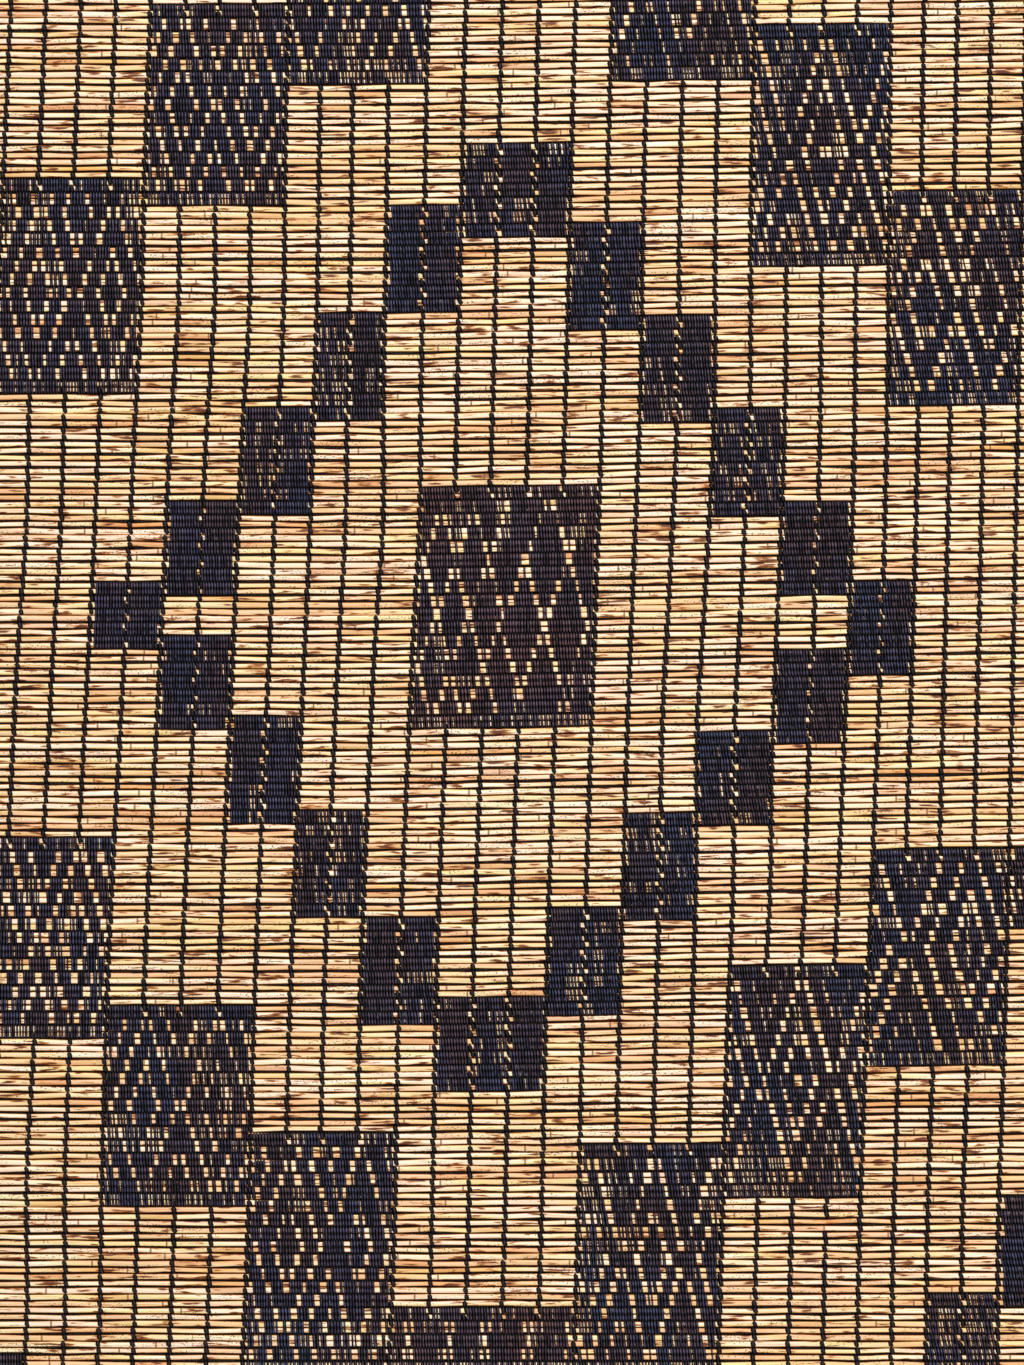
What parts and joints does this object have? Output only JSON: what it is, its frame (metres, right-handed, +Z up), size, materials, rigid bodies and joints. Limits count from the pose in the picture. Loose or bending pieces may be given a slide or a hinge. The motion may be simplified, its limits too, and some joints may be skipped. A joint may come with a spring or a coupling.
{
  "type": "reed and leather mat, cut length",
  "caption": "Flat cut length of a mat: thin dried reeds laid side by side, lashed with dark leather thongs that also weave a stepped block pattern.",
  "frame": {"origin": "on the underside's plane, below the middle of the mat", "axes": "+Z up through the mat to its patterned face, +X along the reeds, +Y along the leather lashings towards the picture's top edge"},
  "size_m": [0.3692, 0.4518, 0.0038],
  "materials": {
    "reed": "dried grass or reed stems, straw coloured with brown blotches, satin",
    "leather": "thin goat leather thongs dyed blue-black, satin with worn highlights"
  },
  "bodies": {
    "root": {"rods": "reed", "leather": "leather"}
  },
  "joints": []
}
